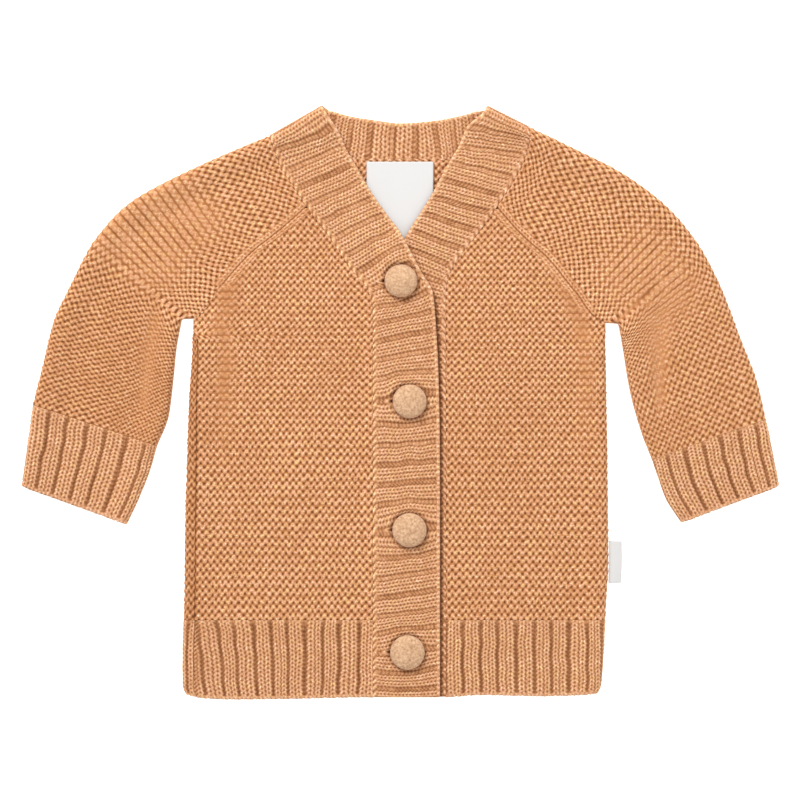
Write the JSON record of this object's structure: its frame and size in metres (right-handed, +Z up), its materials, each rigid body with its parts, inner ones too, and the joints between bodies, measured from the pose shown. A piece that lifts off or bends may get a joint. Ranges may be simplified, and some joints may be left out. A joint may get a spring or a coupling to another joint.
{
  "type": "button cardigan",
  "caption": "Hand-knitted baby cardigan laid flat: raglan sleeves, ribbed cuffs and hem, V neck and a ribbed button band with cloth-covered buttons.",
  "frame": {"origin": "on the surface that the cardigan lies on, under the middle of its box", "axes": "+X across the garment towards the wearer's left, +Y from the hem to the neck, +Z up out of its front"},
  "size_m": [0.44, 0.3446, 0.0153],
  "materials": {
    "garter_knit": "matt garter stitch in a soft heathered yarn",
    "rib_knit": "matt ribbed knit in the same yarn",
    "button_cloth": "matt brushed cloth stretched over a dome",
    "label_cloth": "smooth woven tape, bare"
  },
  "bodies": {
    "root": {"back": "garter_knit", "hem_back": "rib_knit", "front_right": "garter_knit", "front_left": "garter_knit", "hem_front_right": "rib_knit", "hem_front_left": "rib_knit", "sleeve_right": "garter_knit", "sleeve_left": "garter_knit", "cuff_right": "rib_knit", "cuff_left": "rib_knit", "neckband_back": "rib_knit", "band_right": "rib_knit", "band_left": "rib_knit", "neck_label": "label_cloth", "side_tag": "label_cloth", "button_1": "button_cloth", "button_2": "button_cloth", "button_3": "button_cloth", "button_4": "button_cloth"}
  },
  "joints": []
}
